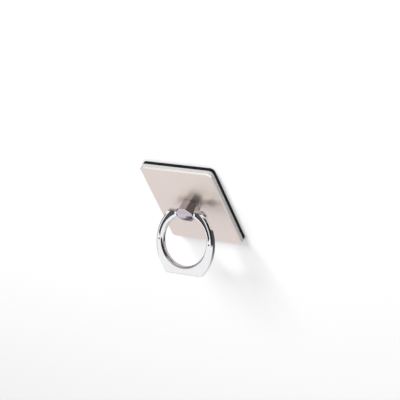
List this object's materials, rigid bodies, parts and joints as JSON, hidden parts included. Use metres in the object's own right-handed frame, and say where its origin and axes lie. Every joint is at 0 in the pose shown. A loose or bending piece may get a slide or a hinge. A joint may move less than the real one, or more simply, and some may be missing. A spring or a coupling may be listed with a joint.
{
  "type": "phone ring holder",
  "caption": "Square metal plate on an adhesive pad with a swivel post and a folding finger ring that also props a phone up as a stand.",
  "frame": {"origin": "centre of the pad's adhesive face, the part's lowest face", "axes": "+Z out of the plate towards the ring, +X along the hinge pin, +Y along the plate's longer side and away from the standing ring"},
  "size_m": [0.0336, 0.0402, 0.0242],
  "materials": {
    "plate": "champagne anodised, fine satin, with bright cut edges",
    "pad": "black acrylic foam with an adhesive face",
    "chrome": "bright chrome over cast zinc",
    "steel": "plain bright steel",
    "nylon": "black nylon"
  },
  "bodies": {
    "base": {"base_plate": "plate", "adhesive_pad": "pad", "wave_spring": "steel"},
    "swivel": {"hub_disc": "steel", "swivel_post": "chrome", "thrust_washer": "steel", "retaining_clip": "steel", "hinge_bush_left": "nylon", "hinge_bush_right": "nylon"},
    "ring": {"finger_ring": "chrome", "hinge_pin": "steel"}
  },
  "joints": [
    {"name": "post_swivel", "type": "hinge", "parent": "base", "child": "swivel", "pos_m": [0, 0, 0.0036], "axis": [0, 0, 1], "continuous": true},
    {"name": "ring_fold", "type": "hinge", "parent": "swivel", "child": "ring", "pos_m": [0, 0, 0.0072], "axis": [1, 0, 0], "range_deg": [-145, 47]}
  ]
}
